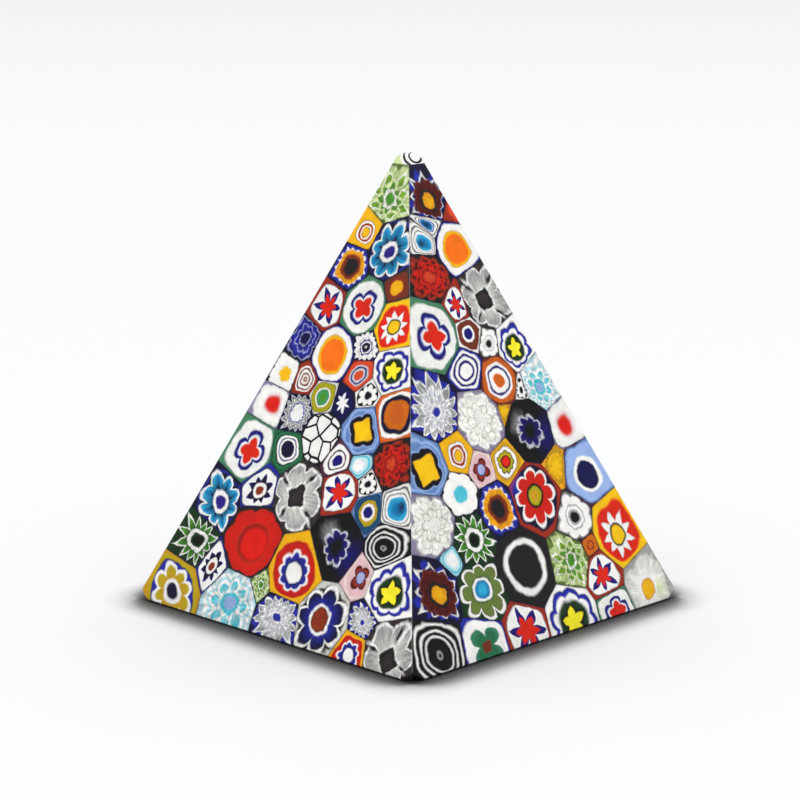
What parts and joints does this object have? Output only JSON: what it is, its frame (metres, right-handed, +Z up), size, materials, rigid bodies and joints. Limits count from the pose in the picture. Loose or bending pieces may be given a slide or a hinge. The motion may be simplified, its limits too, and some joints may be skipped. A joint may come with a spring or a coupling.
{
  "type": "millefiori glass pyramid paperweight",
  "caption": "Solid square glass pyramid paperweight: patterned cane slices fused side by side over a glass core, with a blunt ground tip and a flat base to stand on.",
  "frame": {"origin": "middle of the square base, on the surface that the pyramid stands on", "axes": "+Z up through the tip; the four sloping faces look to -Y, +X, +Y and -X, and the picture shows the -Y face on the left and the +X face on the right"},
  "size_m": [0.0648, 0.0648, 0.0754],
  "materials": {
    "glass_core": "polished opaque fused glass",
    "tip_swirl_cap": "polished opaque fused glass",
    "green_lace_slices": "polished opaque fused glass",
    "amber_ring_slices": "polished opaque fused glass",
    "teal_flower_slices": "polished opaque fused glass",
    "sunflower_slices": "polished opaque fused glass",
    "amber_eye_slices": "polished opaque fused glass",
    "quatrefoil_slices": "polished opaque fused glass",
    "red_star_slices": "polished opaque fused glass",
    "sunburst_slices": "polished opaque fused glass",
    "violet_rosette_slices": "polished opaque fused glass",
    "orange_egg_slices": "polished opaque fused glass",
    "white_frill_slices": "polished opaque fused glass",
    "coral_target_slices": "polished opaque fused glass",
    "yellow_star_slices": "polished opaque fused glass",
    "lemon_spot_slices": "polished opaque fused glass",
    "brown_ring_slices": "polished opaque fused glass",
    "lime_eye_slices": "polished opaque fused glass",
    "night_star_slices": "polished opaque fused glass",
    "domino_flower_slices": "polished opaque fused glass",
    "terracotta_slices": "polished opaque fused glass",
    "red_dot_slices": "polished opaque fused glass",
    "lilac_frill_slices": "polished opaque fused glass",
    "yellow_leaf_slices": "polished opaque fused glass",
    "pebble_slices": "polished opaque fused glass",
    "green_target_slices": "polished opaque fused glass",
    "plum_target_slices": "polished opaque fused glass",
    "ice_slices": "polished opaque fused glass",
    "red_rose_slices": "polished opaque fused glass",
    "smoke_petal_slices": "polished opaque fused glass",
    "navy_star_slices": "polished opaque fused glass",
    "steel_target_slices": "polished opaque fused glass",
    "teal_drop_slices": "polished opaque fused glass",
    "teal_lens_slices": "polished opaque fused glass",
    "green_burst_slices": "polished opaque fused glass",
    "red_poppy_slices": "polished opaque fused glass",
    "midnight_flower_slices": "polished opaque fused glass",
    "swirl_slices": "polished opaque fused glass",
    "olive_flower_slices": "polished opaque fused glass",
    "aqua_flower_slices": "polished opaque fused glass",
    "gold_flower_slices": "polished opaque fused glass",
    "pink_clover_slices": "polished opaque fused glass",
    "silver_lace_slices": "polished opaque fused glass",
    "ink_flower_slices": "polished opaque fused glass",
    "maroon_flower_slices": "polished opaque fused glass",
    "rust_target_slices": "polished opaque fused glass",
    "smoke_daisy_slices": "polished opaque fused glass",
    "navy_square_slices": "polished opaque fused glass",
    "rust_ring_slices": "polished opaque fused glass",
    "yellow_chip_slices": "polished opaque fused glass",
    "ivory_flower_slices": "polished opaque fused glass",
    "green_daisy_slices": "polished opaque fused glass",
    "cyan_daisy_slices": "polished opaque fused glass",
    "scarlet_flower_slices": "polished opaque fused glass",
    "blue_eye_slices": "polished opaque fused glass",
    "black_eye_slices": "polished opaque fused glass",
    "orange_square_slices": "polished opaque fused glass",
    "green_petal_slices": "polished opaque fused glass",
    "green_clover_slices": "polished opaque fused glass",
    "egg_smoke_slices": "polished opaque fused glass"
  },
  "bodies": {
    "root": {"glass_core": "glass_core", "tip_swirl_cap": "tip_swirl_cap", "green_lace_slices": "green_lace_slices", "amber_ring_slices": "amber_ring_slices", "teal_flower_slices": "teal_flower_slices", "sunflower_slices": "sunflower_slices", "amber_eye_slices": "amber_eye_slices", "quatrefoil_slices": "quatrefoil_slices", "red_star_slices": "red_star_slices", "sunburst_slices": "sunburst_slices", "violet_rosette_slices": "violet_rosette_slices", "orange_egg_slices": "orange_egg_slices", "white_frill_slices": "white_frill_slices", "coral_target_slices": "coral_target_slices", "yellow_star_slices": "yellow_star_slices", "lemon_spot_slices": "lemon_spot_slices", "brown_ring_slices": "brown_ring_slices", "lime_eye_slices": "lime_eye_slices", "night_star_slices": "night_star_slices", "domino_flower_slices": "domino_flower_slices", "terracotta_slices": "terracotta_slices", "red_dot_slices": "red_dot_slices", "lilac_frill_slices": "lilac_frill_slices", "yellow_leaf_slices": "yellow_leaf_slices", "pebble_slices": "pebble_slices", "green_target_slices": "green_target_slices", "plum_target_slices": "plum_target_slices", "ice_slices": "ice_slices", "red_rose_slices": "red_rose_slices", "smoke_petal_slices": "smoke_petal_slices", "navy_star_slices": "navy_star_slices", "steel_target_slices": "steel_target_slices", "teal_drop_slices": "teal_drop_slices", "teal_lens_slices": "teal_lens_slices", "green_burst_slices": "green_burst_slices", "red_poppy_slices": "red_poppy_slices", "midnight_flower_slices": "midnight_flower_slices", "swirl_slices": "swirl_slices", "olive_flower_slices": "olive_flower_slices", "aqua_flower_slices": "aqua_flower_slices", "gold_flower_slices": "gold_flower_slices", "pink_clover_slices": "pink_clover_slices", "silver_lace_slices": "silver_lace_slices", "ink_flower_slices": "ink_flower_slices", "maroon_flower_slices": "maroon_flower_slices", "rust_target_slices": "rust_target_slices", "smoke_daisy_slices": "smoke_daisy_slices", "navy_square_slices": "navy_square_slices", "rust_ring_slices": "rust_ring_slices", "yellow_chip_slices": "yellow_chip_slices", "ivory_flower_slices": "ivory_flower_slices", "green_daisy_slices": "green_daisy_slices", "cyan_daisy_slices": "cyan_daisy_slices", "scarlet_flower_slices": "scarlet_flower_slices", "blue_eye_slices": "blue_eye_slices", "black_eye_slices": "black_eye_slices", "orange_square_slices": "orange_square_slices", "green_petal_slices": "green_petal_slices", "green_clover_slices": "green_clover_slices", "egg_smoke_slices": "egg_smoke_slices"}
  },
  "joints": []
}
